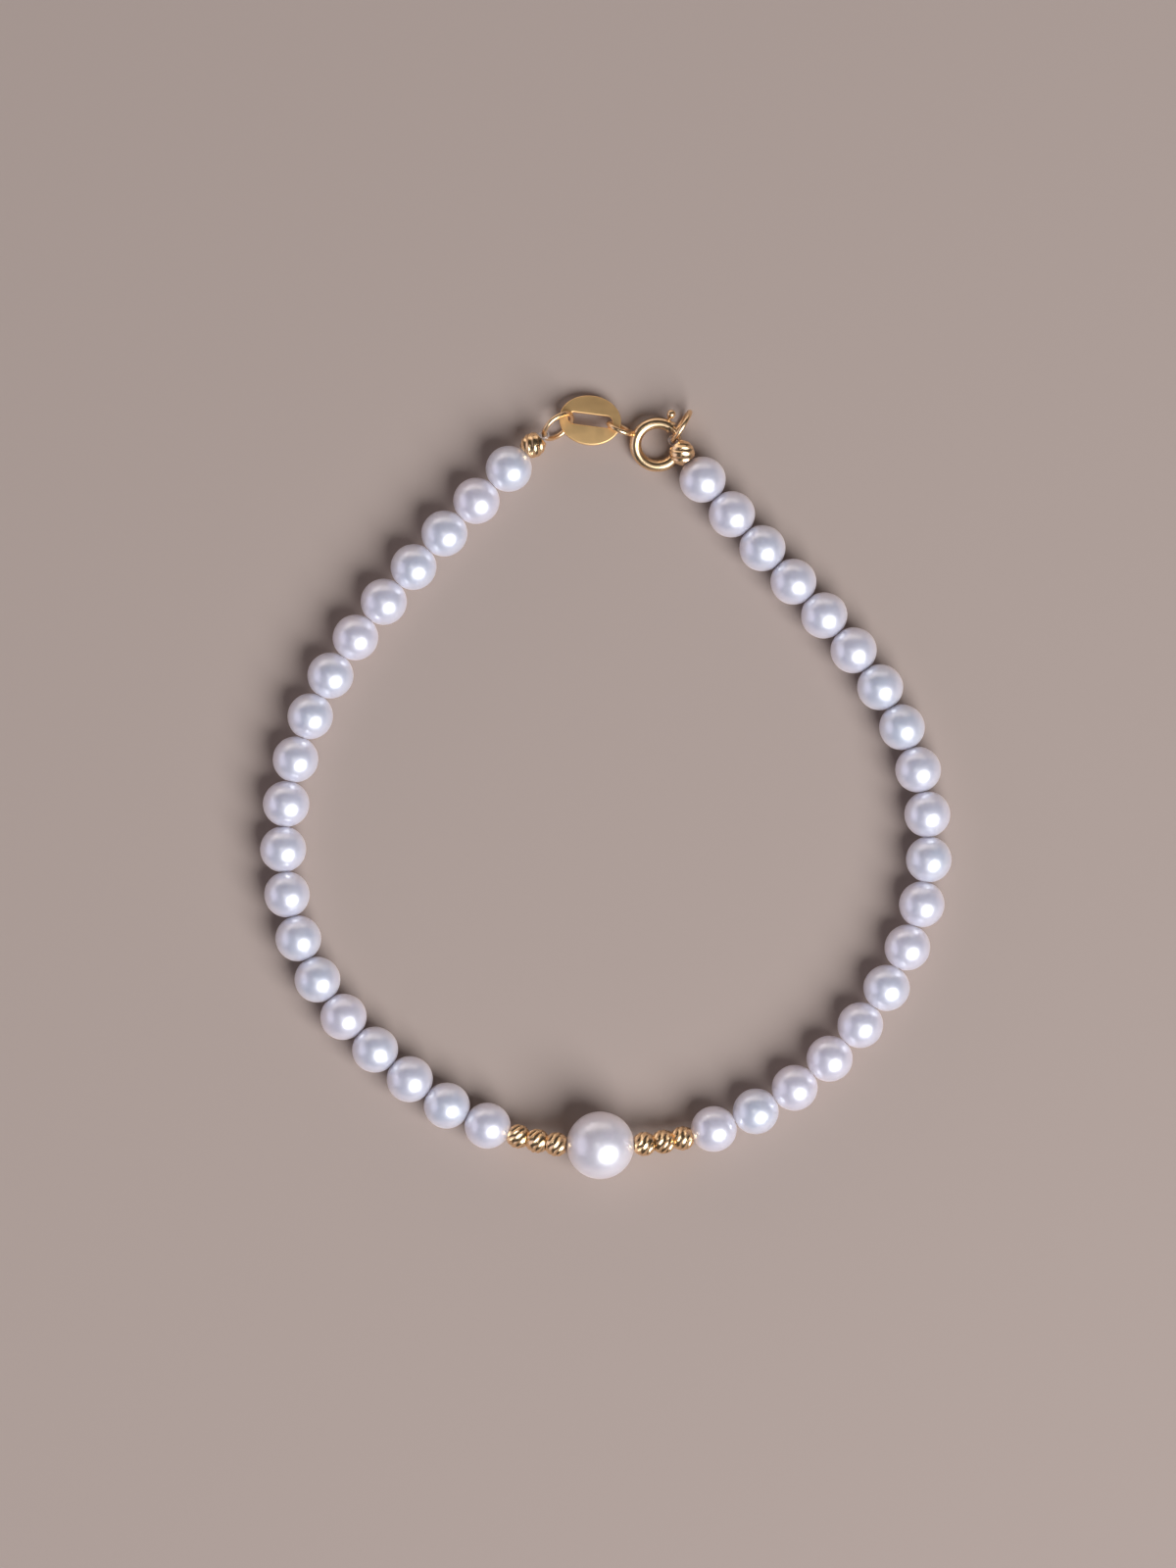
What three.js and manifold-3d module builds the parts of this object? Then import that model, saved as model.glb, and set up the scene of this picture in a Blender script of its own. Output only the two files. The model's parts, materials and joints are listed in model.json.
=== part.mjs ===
// A pearl bracelet lying open on a table: two runs of small pearls, one large pearl between
// diamond-cut gold beads at the front, and a gold clasp with an oval plate at the back.
// Millimetres, +Z up, +Y towards the clasp. The origin is on the table, under the middle of the loop.
import * as THREE from "three";
import { mergeVertices } from "three/addons/utils/BufferGeometryUtils.js";
import Module from "manifold-3d";

const wasm = await Module();
wasm.setup();

// Beads
const pearlDiameter = 4.1;
const pearlsEachSide = 19;
const centrePearlDiameter = 6.1;
const goldBeadDiameter = 2.15;
const goldBeadLength = 1.7;
const goldBeadsEachSide = 3;
const endBeadDiameter = 2.2;
const endBeadLength = 1.9;
const pearlDrillDiameter = 0.8;
const goldBoreDiameter = 0.9;
const beadGap = 0.1;
const fluteCount = 10;
const fluteDepthShare = 0.1;
const fluteTwistDegrees = -120;

// Thread
const threadDiameter = 0.25;
const knotDiameter = 0.5;
const threadReach = 0.38;
const threadSlack = 0.12;
const eyeMouthShare = 0.8;
const eyeTailShare = 0.55;
const eyeOverlapShare = 0.2;

// Spring-ring clasp. Angles run counter-clockwise from +X, seen from above
const claspCentreX = 4.42;
const claspCentreY = 30.99;
const claspHeight = 1.0;
const claspTiltDegrees = 12;
const claspDiameter = 5.0;
const claspTubeDiameter = 1.05;
const claspBoreDiameter = 0.68;
const gapStartDegrees = -8;
const gapEndDegrees = 50;
const socketDegrees = 14;
const boltDiameter = 0.5;
const boltTipDegrees = 9;
const boltTailDegrees = 24;
const boltTravelDegrees = 64;
const knobAngleDegrees = 66;
const knobDiameter = 0.8;
const knobReach = 3.05;
const stemDiameter = 0.26;
const stemSlotClearance = 0.05;
const boreSpareDegrees = 10;
const earAngleDegrees = 157;
const earDiameter = 2.65;
const earWireDiameter = 0.44;
const earSolderDepth = 0.12;

// Oval plate with its slot
const plateLength = 5.6;
const plateWidth = 4.6;
const plateThickness = 0.3;
const slotLength = 4.05;
const slotWidth = 1.08;
const plateHeadingDegrees = -7;
const plateTiltDegrees = -12;
const plateHeight = 1.36;
const plateEarPlay = 0.14;
const plateSideShift = 0.16;

// Wire rings: one carries the plate, the other is what the clasp catches
const ringDiameter = 3.5;
const ringWireDiameter = 0.45;
const plateRingHeadingDegrees = 40;
const plateRingLeanDegrees = 63;
const plateRingSeatAlong = 0.25;
const plateRingSeatAcross = 0.22;
const plateRingHeight = 1.6;
const catchRingHeadingDegrees = 239;
const catchRingLeanDegrees = 85;
const catchRingAngleDegrees = 28.5;
const catchRingPlay = 0.28;
const catchRingHeight = 1.76;
const perchAngleDegrees = -20;
const threadHoldDegrees = 16;

// How finely round things are faceted
const pearlSides = 12;
const pearlBands = 7;
const centrePearlSides = 16;
const centrePearlBands = 9;
const goldBeadBands = 7;
const wireSides = 6;
const tubeSides = 10;
const boreSides = 8;
const ringSteps = 20;
const claspSteps = 36;
const plateSteps = 36;
const threadSteps = 80;
const loopSteps = 8;
const mergeTolerance = 1e-4;

// The sizes between which the strand's route is fitted to its beads, and how finely it is measured
const smallestRoute = 0.2;
const largestRoute = 5;
const routeTries = 50;
const routeDivisions = 40;

// The way of the strand round the table, from the plate's ring to the catch ring, seen from above
const strandRoute = [
  { x: -5.8, y: 31.5 },
  { x: -8.6, y: 28.8 },
  { x: -17.1, y: 20.0 },
  { x: -24.7, y: 10.2 },
  { x: -27.9, y: 2.6 },
  { x: -29.1, y: -5.6 },
  { x: -27.8, y: -13.6 },
  { x: -23.8, y: -20.7 },
  { x: -14.6, y: -28.7 },
  { x: -10.9, y: -30.6 },
  { x: -4.5, y: -32.3 },
  { x: 3.2, y: -32.3 },
  { x: 9.6, y: -31.1 },
  { x: 17.0, y: -27.4 },
  { x: 22.9, y: -21.8 },
  { x: 27.2, y: -14.9 },
  { x: 29.3, y: -6.7 },
  { x: 28.3, y: 1.6 },
  { x: 24.8, y: 9.1 },
  { x: 19.7, y: 15.5 },
  { x: 14.0, y: 21.6 },
  { x: 8.4, y: 27.9 },
  { x: 6.1, y: 31.0 },
];

const nacre = new THREE.MeshStandardMaterial({ color: 0xe4e1e8, roughness: 0.22, metalness: 0.0 });
const creamNacre = new THREE.MeshStandardMaterial({ color: 0xe8e1de, roughness: 0.22, metalness: 0.0 });
const cutGold = new THREE.MeshStandardMaterial({ color: 0xe3b368, roughness: 0.12, metalness: 1.0 });
const polishedGold = new THREE.MeshStandardMaterial({ color: 0xe0b26a, roughness: 0.15, metalness: 1.0 });
const satinGold = new THREE.MeshStandardMaterial({ color: 0xc2955c, roughness: 0.38, metalness: 1.0 });
const clearNylon = new THREE.MeshStandardMaterial({ color: 0xe6ebf0, roughness: 0.2, metalness: 0.0 });

const up = new THREE.Vector3(0, 0, 1);
const radians = THREE.MathUtils.degToRad;

// Lengths that follow from the sizes above
const pearlRadius = pearlDiameter / 2;
const centrePearlRadius = centrePearlDiameter / 2;
const claspRadius = (claspDiameter - claspTubeDiameter) / 2;
const ringRadius = (ringDiameter - ringWireDiameter) / 2;
const earRadius = (earDiameter - earWireDiameter) / 2;

// A horizontal unit vector at an angle from +X
function heading(degrees) {
  return new THREE.Vector3(Math.cos(radians(degrees)), Math.sin(radians(degrees)), 0);
}

// Solids for joining and cutting, and back to geometry
function solidOf(geometry) {
  const bare = geometry.index ? geometry.toNonIndexed() : geometry.clone();
  const merged = mergeVertices(
    new THREE.BufferGeometry().setAttribute("position", bare.getAttribute("position")),
    mergeTolerance,
  );
  return new wasm.Manifold(
    new wasm.Mesh({
      numProp: 3,
      vertProperties: merged.attributes.position.array,
      triVerts: new Uint32Array(merged.index.array),
    }),
  );
}

function geometryOf(solid) {
  const mesh = solid.getMesh();
  const geometry = new THREE.BufferGeometry();
  geometry.setAttribute("position", new THREE.BufferAttribute(mesh.vertProperties, 3));
  geometry.setIndex(new THREE.BufferAttribute(mesh.triVerts, 1));
  geometry.computeVertexNormals();
  return geometry;
}

function namedMesh(name, geometry, material) {
  const mesh = new THREE.Mesh(geometry, material);
  mesh.name = name;
  return mesh;
}

// Round beads, turned about Y with the hole along Y

// The length of a ball between the mouths of its hole
function drilledLength(diameter, holeDiameter) {
  return Math.sqrt(diameter ** 2 - holeDiameter ** 2);
}

// Half of a bead's section, from one mouth of the hole round to the other and back along the hole
function beadProfile(diameter, holeDiameter, length, bands, swell) {
  const mouthAngle = Math.asin(holeDiameter / diameter);
  const reach = length / 2 / Math.cos(mouthAngle);
  const profile = [];
  for (let band = 0; band <= bands; band += 1) {
    const angle = mouthAngle + ((Math.PI - 2 * mouthAngle) * band) / bands;
    const radius = (swell * diameter * Math.sin(angle)) / 2;
    profile.push(new THREE.Vector2(radius, -reach * Math.cos(angle)));
  }
  profile.push(profile[0].clone());
  return profile;
}

// A pearl is swollen a little sideways, so that its flat facets, and not its edges, lie on the true ball
function pearlGeometry(diameter, sides, bands) {
  const mouthAngle = Math.asin(pearlDrillDiameter / diameter);
  const halfBand = (Math.PI - 2 * mouthAngle) / bands / 2;
  const swell = 1 / (Math.cos(Math.PI / sides) * Math.cos(halfBand));
  const length = drilledLength(diameter, pearlDrillDiameter);
  const profile = beadProfile(diameter, pearlDrillDiameter, length, bands, swell);
  return new THREE.LatheGeometry(profile, sides, Math.PI / sides);
}

// A diamond-cut bead: flutes run round it on a slant, with a ridge between each two. One more ring of
// points half-way along the hole keeps the hole open where the mouths are turned against each other
function cutBeadGeometry(diameter, length) {
  const sides = 2 * fluteCount;
  const profile = beadProfile(diameter, goldBoreDiameter, length, goldBeadBands, 1);
  profile.splice(-1, 0, new THREE.Vector2(profile[0].x, 0));
  const geometry = new THREE.LatheGeometry(profile, sides);
  const position = geometry.getAttribute("position");
  for (let side = 0; side <= sides; side += 1) {
    for (let ring = 0; ring < profile.length; ring += 1) {
      const onMouth = ring === 0 || ring >= goldBeadBands;
      const radius = profile[ring].x * (onMouth || side % 2 === 0 ? 1 : 1 - fluteDepthShare);
      const along = profile[ring].y;
      const angle = (2 * Math.PI * side) / sides + (radians(fluteTwistDegrees) * along) / length;
      const index = side * profile.length + ring;
      position.setXYZ(index, radius * Math.sin(angle), along, radius * Math.cos(angle));
    }
  }
  return geometry;
}

// Rings and rods bent to a circle in the XY plane

function wireRing(radius, wireDiameter, sides, steps) {
  return new THREE.TorusGeometry(radius, wireDiameter / 2, sides, steps);
}

// A flat piece of a ring between two angles, centred on the XY plane
function sector(innerRadius, outerRadius, fromDegrees, toDegrees, height) {
  const shape = new THREE.Shape();
  shape.absarc(0, 0, outerRadius, radians(fromDegrees), radians(toDegrees), false);
  shape.absarc(0, 0, innerRadius, radians(toDegrees), radians(fromDegrees), true);
  const flat = { depth: height, bevelEnabled: false, curveSegments: claspSteps / 2 };
  return new THREE.ExtrudeGeometry(shape, flat).translate(0, 0, -height / 2);
}

function arcRod(diameter, sides, fromDegrees, toDegrees) {
  const reach = claspTubeDiameter;
  const slice = sector(claspRadius - reach, claspRadius + reach, fromDegrees, toDegrees, 2 * reach);
  return solidOf(wireRing(claspRadius, diameter, sides, claspSteps)).intersect(solidOf(slice));
}

// The clasp: a hollow ring with a gap, and its ear soldered on
function claspCase() {
  const reach = claspTubeDiameter;
  const slotHeight = stemDiameter + 2 * stemSlotClearance;
  const slotMargin = THREE.MathUtils.radToDeg(slotHeight / 2 / claspRadius);
  const knobEnd = knobAngleDegrees + boltTravelDegrees;
  const boreStart = gapStartDegrees - socketDegrees;
  const boreEnd = knobEnd + boltTailDegrees + boreSpareDegrees;
  const slotStart = knobAngleDegrees - slotMargin;
  const slotEnd = knobEnd + slotMargin;
  const wallDiameter = (claspTubeDiameter + claspBoreDiameter) / 2;
  const gap = sector(claspRadius - reach, claspRadius + reach, gapStartDegrees, gapEndDegrees, 2 * reach);
  const bore = arcRod(claspBoreDiameter, boreSides, boreStart, boreEnd);
  const slot = sector(claspRadius, claspRadius + reach, slotStart, slotEnd, slotHeight);
  const ear = wireRing(earRadius, earWireDiameter, wireSides, ringSteps);
  ear.rotateX(Math.PI / 2);
  ear.translate(claspDiameter / 2 + earDiameter / 2 - earSolderDepth, 0, 0);
  ear.rotateZ(radians(earAngleDegrees));
  const insideWall = wireRing(claspRadius, wallDiameter, tubeSides, claspSteps);
  const seatedEar = solidOf(ear).subtract(solidOf(insideWall));
  const tube = solidOf(wireRing(claspRadius, claspTubeDiameter, tubeSides, claspSteps));
  return geometryOf(tube.subtract(solidOf(gap)).subtract(bore).subtract(solidOf(slot)).add(seatedEar));
}

// The bolt that closes the gap, with the stem and knob that slide it back
function claspBolt() {
  const boltStart = gapStartDegrees - boltTipDegrees;
  const boltEnd = knobAngleDegrees + boltTailDegrees;
  const rod = arcRod(boltDiameter, boreSides, boltStart, boltEnd);
  const stemRadius = stemDiameter / 2;
  const stem = new THREE.CylinderGeometry(stemRadius, stemRadius, knobReach - claspRadius, wireSides);
  stem.rotateZ(Math.PI / 2);
  stem.translate((claspRadius + knobReach) / 2, 0, 0);
  const knob = new THREE.SphereGeometry(knobDiameter / 2, tubeSides, boreSides);
  knob.translate(knobReach, 0, 0);
  const lever = solidOf(stem).add(solidOf(knob)).rotate([0, 0, knobAngleDegrees]);
  return geometryOf(rod.add(lever));
}

// The oval plate, with its long axis on X and a slot along it
function ovalPlate() {
  const shape = new THREE.Shape();
  shape.absellipse(0, 0, plateLength / 2, plateWidth / 2, 0, 2 * Math.PI);
  const endRadius = slotWidth / 2;
  const endCentre = slotLength / 2 - endRadius;
  const slot = new THREE.Path();
  slot.absarc(endCentre, 0, endRadius, -Math.PI / 2, Math.PI / 2, false);
  slot.absarc(-endCentre, 0, endRadius, Math.PI / 2, (3 * Math.PI) / 2, false);
  shape.holes.push(slot);
  const flat = { depth: plateThickness, bevelEnabled: false, curveSegments: plateSteps / 2 };
  return new THREE.ExtrudeGeometry(shape, flat).translate(0, 0, -plateThickness / 2);
}

// A ring of wire that leans on the table: along is the heading of its level diameter
function leaningRing(name, centre, alongDegrees, leanDegrees) {
  const along = heading(alongDegrees);
  const rise = heading(alongDegrees + 90).multiplyScalar(Math.cos(radians(leanDegrees)));
  rise.addScaledVector(up, Math.sin(radians(leanDegrees)));
  const facing = along.clone().cross(rise);
  const mesh = namedMesh(name, wireRing(ringRadius, ringWireDiameter, wireSides, ringSteps), polishedGold);
  mesh.position.copy(centre);
  mesh.quaternion.setFromRotationMatrix(new THREE.Matrix4().makeBasis(along, rise, facing));
  return { mesh, centre, along, rise, facing };
}

// The point of a leaning ring's wire where the thread holds it, and the way the wire runs there
function threadHold(ring, side) {
  const angle = radians(threadHoldDegrees);
  const outward = ring.along.clone().multiplyScalar(side * Math.cos(angle));
  outward.addScaledVector(ring.rise, Math.sin(angle));
  const point = ring.centre.clone().addScaledVector(outward, ringRadius);
  return { point, wireWay: outward.clone().cross(ring.facing) };
}

// Everything of the clasp is placed from the clasp's own centre
const claspCentre = new THREE.Vector3(claspCentreX, claspCentreY, claspHeight);
const clasp = new THREE.Group();
clasp.position.copy(claspCentre);
clasp.rotation.x = radians(claspTiltDegrees);
clasp.add(namedMesh("clasp_case", claspCase(), polishedGold));
clasp.add(namedMesh("clasp_bolt", claspBolt(), polishedGold));

// The plate's slot is caught on the far side of the ear
const earReach = claspDiameter / 2 + earDiameter - earSolderDepth - earWireDiameter - plateEarPlay;
const plateAlong = heading(plateHeadingDegrees);
const plateAcross = heading(plateHeadingDegrees + 90);
const plateCentre = claspCentre
  .clone()
  .addScaledVector(heading(earAngleDegrees), earReach)
  .addScaledVector(plateAlong, -slotLength / 2)
  .addScaledVector(plateAcross, plateSideShift)
  .setZ(plateHeight);
const plate = namedMesh("oval_plate", ovalPlate(), satinGold);
plate.position.copy(plateCentre);
plate.rotation.order = "ZXY";
plate.rotation.set(radians(plateTiltDegrees), 0, radians(plateHeadingDegrees));

// The plate's ring passes through the other end of the slot
const plateRingCentre = plateCentre
  .clone()
  .addScaledVector(plateAlong, plateRingSeatAlong - slotLength / 2)
  .addScaledVector(plateAcross, plateRingSeatAcross)
  .addScaledVector(heading(plateRingHeadingDegrees), -ringRadius)
  .setZ(plateRingHeight);
const plateRing = leaningRing("plate_ring", plateRingCentre, plateRingHeadingDegrees, plateRingLeanDegrees);

// The catch ring stands on its edge round the bolt, where the clasp's gap is, and hangs out from it
const catchRingOffset = ringRadius - (ringWireDiameter + boltDiameter) / 2 - catchRingPlay;
const catchRingCentre = claspCentre
  .clone()
  .addScaledVector(heading(catchRingAngleDegrees), claspRadius)
  .addScaledVector(heading(catchRingHeadingDegrees), -catchRingOffset)
  .setZ(catchRingHeight);
const catchRing = leaningRing("catch_ring", catchRingCentre, catchRingHeadingDegrees, catchRingLeanDegrees);

// The strand, bead by bead from the plate's ring to the catch ring
function strandBeads() {
  const pearl = pearlGeometry(pearlDiameter, pearlSides, pearlBands);
  const centrePearl = pearlGeometry(centrePearlDiameter, centrePearlSides, centrePearlBands);
  const goldBead = cutBeadGeometry(goldBeadDiameter, goldBeadLength);
  const endBead = cutBeadGeometry(endBeadDiameter, endBeadLength);
  const pearlLength = drilledLength(pearlDiameter, pearlDrillDiameter);
  const beads = [];
  const addBeads = (name, count, first, geometry, length, material) => {
    for (let i = 0; i < count; i += 1) {
      const number = String(first + i).padStart(2, "0");
      beads.push({ mesh: namedMesh(name + "_" + number, geometry, material), length });
    }
  };
  const addBead = (name, geometry, length, material) => {
    beads.push({ mesh: namedMesh(name, geometry, material), length });
  };
  addBead("end_bead_plate_side", endBead, endBeadLength, cutGold);
  addBeads("pearl", pearlsEachSide, 1, pearl, pearlLength, nacre);
  addBeads("gold_bead", goldBeadsEachSide, 1, goldBead, goldBeadLength, cutGold);
  addBead("centre_pearl", centrePearl, drilledLength(centrePearlDiameter, pearlDrillDiameter), creamNacre);
  addBeads("gold_bead", goldBeadsEachSide, goldBeadsEachSide + 1, goldBead, goldBeadLength, cutGold);
  addBeads("pearl", pearlsEachSide, pearlsEachSide + 1, pearl, pearlLength, nacre);
  addBead("end_bead_catch_side", endBead, endBeadLength, cutGold);
  return beads;
}

// Heights of the thread above the table at the joints between beads. It lies as high as the pearls'
// middles, climbs over the gold beads to the large pearl's, and ends where the last bead lies on the clasp
function jointHeights(count, perch) {
  const climbStart = 1 + pearlsEachSide;
  const climbEnd = climbStart + goldBeadsEachSide;
  const levels = [
    { joint: 0, height: pearlRadius },
    { joint: climbStart, height: pearlRadius },
    { joint: climbEnd, height: centrePearlRadius },
    { joint: climbEnd + 1, height: centrePearlRadius },
    { joint: climbEnd + 1 + goldBeadsEachSide, height: pearlRadius },
    { joint: count - 3, height: pearlRadius },
    { joint: count - 2, height: perch },
    { joint: count - 1, height: perch },
  ];
  return Array.from({ length: count }, (_, joint) => {
    const next = Math.max(1, levels.findIndex((level) => level.joint >= joint));
    const [low, high] = [levels[next - 1], levels[next]];
    const share = THREE.MathUtils.smoothstep(joint, low.joint, high.joint);
    return THREE.MathUtils.lerp(low.height, high.height, share);
  });
}

// The route through its chosen points, made larger or smaller about its own middle, with its ends
// carried to start and end and every point between sharing in that move
function strandCurve(size, start, end) {
  const chosen = strandRoute.map((p) => new THREE.Vector3(p.x, p.y, 0));
  const last = chosen.length - 1;
  const middle = chosen[0].clone().add(chosen[last]).divideScalar(2);
  const sized = chosen.map((p) => p.sub(middle).multiplyScalar(size).add(middle));
  const startMove = start.clone().sub(sized[0]);
  const endMove = end.clone().sub(sized[last]);
  const points = sized.map((p, i) => {
    const share = i / last;
    return p.clone().addScaledVector(startMove, 1 - share).addScaledVector(endMove, share);
  });
  const curve = new THREE.CatmullRomCurve3(points, false, "centripetal");
  curve.arcLengthDivisions = routeDivisions * last;
  return curve;
}

// The size at which the route is as long as the beads on it
function fittedCurve(length, start, end) {
  let small = smallestRoute;
  let large = largestRoute;
  for (let i = 0; i < routeTries; i += 1) {
    const middle = (small + large) / 2;
    if (strandCurve(middle, start, end).getLength() < length) small = middle;
    else large = middle;
  }
  return strandCurve((small + large) / 2, start, end);
}

const plateHold = threadHold(plateRing, -1);
const catchHold = threadHold(catchRing, 1);
const routeEnd = strandRoute.length - 1;
const leaving = (from, to) => new THREE.Vector3(to.x - from.x, to.y - from.y, 0).normalize();
const startWay = leaving(strandRoute[0], strandRoute[1]);
const endWay = leaving(strandRoute[routeEnd], strandRoute[routeEnd - 1]);
const strandStart = plateHold.point.clone().addScaledVector(startWay, threadReach);
const strandEnd = catchHold.point.clone().addScaledVector(endWay, threadReach);

// The last bead lies across the tube of the tilted case, at the perch's angle
const beads = strandBeads();
const caseRise = claspRadius * Math.sin(radians(claspTiltDegrees)) * Math.sin(radians(perchAngleDegrees));
const perch = claspHeight + caseRise + claspTubeDiameter / 2 + endBeadDiameter / 2 + beadGap;
const heights = jointHeights(beads.length + 1, perch);
const planLengths = beads.map((bead, i) => {
  const climb = heights[i + 1] - heights[i];
  return Math.sqrt((bead.length + beadGap) ** 2 - climb ** 2);
});
const planLength = planLengths.reduce((sum, length) => sum + length, 0);
const route = fittedCurve(planLength, strandStart.clone().setZ(0), strandEnd.clone().setZ(0));

const joints = [];
let travelled = 0;
for (let i = 0; i <= beads.length; i += 1) {
  joints.push(route.getPointAt(Math.min(1, travelled / planLength)).setZ(heights[i]));
  travelled += i < beads.length ? planLengths[i] : 0;
}

const strand = new THREE.Group();
beads.forEach(({ mesh }, i) => {
  const along = joints[i + 1].clone().sub(joints[i]).normalize();
  const side = along.clone().cross(up).normalize();
  mesh.position.copy(joints[i]).add(joints[i + 1]).divideScalar(2);
  mesh.quaternion.setFromRotationMatrix(new THREE.Matrix4().makeBasis(side, along, side.clone().cross(along)));
  strand.add(mesh);
});

// The thread: a run through all the beads, and at each end an eye round the ring's wire. The ends are
// knotted inside the last beads
function threadTube(points, steps) {
  const section = new THREE.Shape();
  section.absarc(0, 0, threadDiameter / 2, 0, 2 * Math.PI);
  const curve = new THREE.CatmullRomCurve3(points, false, "centripetal");
  const shape = new THREE.Shape(section.getSpacedPoints(wireSides).slice(0, wireSides));
  const tube = new THREE.ExtrudeGeometry(shape, { steps, extrudePath: curve, bevelEnabled: false });
  return solidOf(tube);
}

function threadEye(knot, mouth, hold) {
  const round = (ringWireDiameter + threadDiameter) / 2 + threadSlack;
  const away = mouth.clone().sub(hold.point).projectOnPlane(hold.wireWay).normalize();
  const across = hold.wireWay.clone().cross(away);
  const behind = hold.point.clone().addScaledVector(away, -round);
  const half = (side) => {
    const points = [
      knot,
      mouth.clone().addScaledVector(across, side * threadDiameter * eyeMouthShare),
      hold.point.clone().addScaledVector(across, side * round),
      behind.clone().addScaledVector(across, side * round * eyeTailShare),
      behind.clone().addScaledVector(across, -side * threadDiameter * eyeOverlapShare),
    ];
    return threadTube(points, loopSteps);
  };
  const knotBall = new THREE.IcosahedronGeometry(knotDiameter / 2, 1).translate(knot.x, knot.y, knot.z);
  return half(1).add(half(-1)).add(solidOf(knotBall));
}

const firstKnot = joints[0].clone().add(joints[1]).divideScalar(2);
const lastKnot = joints[joints.length - 2].clone().add(joints[joints.length - 1]).divideScalar(2);
const thread = threadTube([firstKnot, ...joints.slice(1, -1), lastKnot], threadSteps)
  .add(threadEye(firstKnot, joints[0], plateHold))
  .add(threadEye(lastKnot, joints[joints.length - 1], catchHold));

const bracelet = new THREE.Group();
bracelet.add(strand, namedMesh("thread", geometryOf(thread), clearNylon));
bracelet.add(clasp, plate, plateRing.mesh, catchRing.mesh);

// The loop's middle is brought over the origin
bracelet.updateMatrixWorld(true);
const middle = new THREE.Box3().setFromObject(bracelet).getCenter(new THREE.Vector3());
bracelet.position.set(-middle.x, -middle.y, 0);

export default bracelet;
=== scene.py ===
import json
import math
import random

import bmesh
import bpy
from mathutils import Matrix, Vector, noise


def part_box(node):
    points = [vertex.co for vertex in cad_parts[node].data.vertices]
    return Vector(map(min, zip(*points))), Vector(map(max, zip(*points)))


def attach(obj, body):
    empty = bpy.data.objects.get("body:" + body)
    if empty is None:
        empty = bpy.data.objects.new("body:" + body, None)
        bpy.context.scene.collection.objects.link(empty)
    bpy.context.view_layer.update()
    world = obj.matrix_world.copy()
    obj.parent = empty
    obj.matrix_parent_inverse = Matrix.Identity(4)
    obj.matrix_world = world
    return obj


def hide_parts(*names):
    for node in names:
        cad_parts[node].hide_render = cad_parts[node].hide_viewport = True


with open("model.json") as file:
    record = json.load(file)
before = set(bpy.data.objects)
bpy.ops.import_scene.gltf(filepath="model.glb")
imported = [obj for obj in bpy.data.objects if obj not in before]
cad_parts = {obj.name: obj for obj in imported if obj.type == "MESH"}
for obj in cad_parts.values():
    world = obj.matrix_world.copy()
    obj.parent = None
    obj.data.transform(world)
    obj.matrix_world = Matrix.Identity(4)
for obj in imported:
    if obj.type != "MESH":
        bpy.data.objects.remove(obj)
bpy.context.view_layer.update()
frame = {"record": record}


# Small pearls. Thirty-eight round cultured pearls of about 4 mm, white with a lavender and rose
# cast, each drilled through and strung on the nylon. No two are quite alike: each is a little
# out of round, with faint growth rings about its hole.

MM = 0.001
PEARLS_A_SIDE = 19
SMALL_PEARLS = ["pearl_%02d" % number for number in range(1, 2 * PEARLS_A_SIDE + 1)]
PEARL_DIAMETER = 4.16 * MM
PEARL_HOLE = 0.8 * MM
PEARL_OUT_OF_ROUND = 0.012
PEARL_WAVE = 0.016 * MM
PEARL_SKIN_FROM = 0.46
BROAD_WAVES = 1.7
FINE_WAVES = 4.5
FINE_WAVE_SHARE = 0.35
FURTHEST_SHIFT = 40
HOLE_LIP = 0.06 * MM


def middle(node):
    low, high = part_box(node)
    return (Vector(low) + Vector(high)) / 2


def span(node):
    low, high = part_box(node)
    return Vector(high) - Vector(low)


def laid_along(direction, centre):
    """Turns a piece that was made about Z to lie along a direction, with its own X level."""
    along = direction.normalized()
    level = Vector((0, 0, 1)).cross(along).normalized()
    turned = Matrix((level, along.cross(level), along)).transposed().to_4x4()
    return Matrix.Translation(centre) @ turned


def finish_piece(name, bm, material, body, nodes, place=None):
    """Makes the finished object of a piece, hangs it on the body it rides on, and hides the parts
    it stands for.
    """
    if place is not None:
        bmesh.ops.transform(bm, matrix=place, verts=bm.verts)
    mesh = bpy.data.meshes.new(name)
    bm.to_mesh(mesh)
    bm.free()
    mesh.materials.append(material)
    piece = bpy.data.objects.new(name, mesh)
    bpy.context.scene.collection.objects.link(piece)
    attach(piece, body)
    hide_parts(*nodes)
    return piece


def rim_loops(bm):
    return [edge for edge in bm.edges if edge.is_boundary]


def turn_outwards(bm):
    """Turns every face of a closed shape outwards and shades it smooth."""
    bmesh.ops.recalc_face_normals(bm, faces=bm.faces)
    for face in bm.faces:
        face.smooth = True


# The rolled lip of a hole, in three steps: the share of its width kept, and its depth in lips.
LIP_ROLL = ((0.93, 0.35), (0.9, 1.0), (0.99, 4.0))


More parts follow.
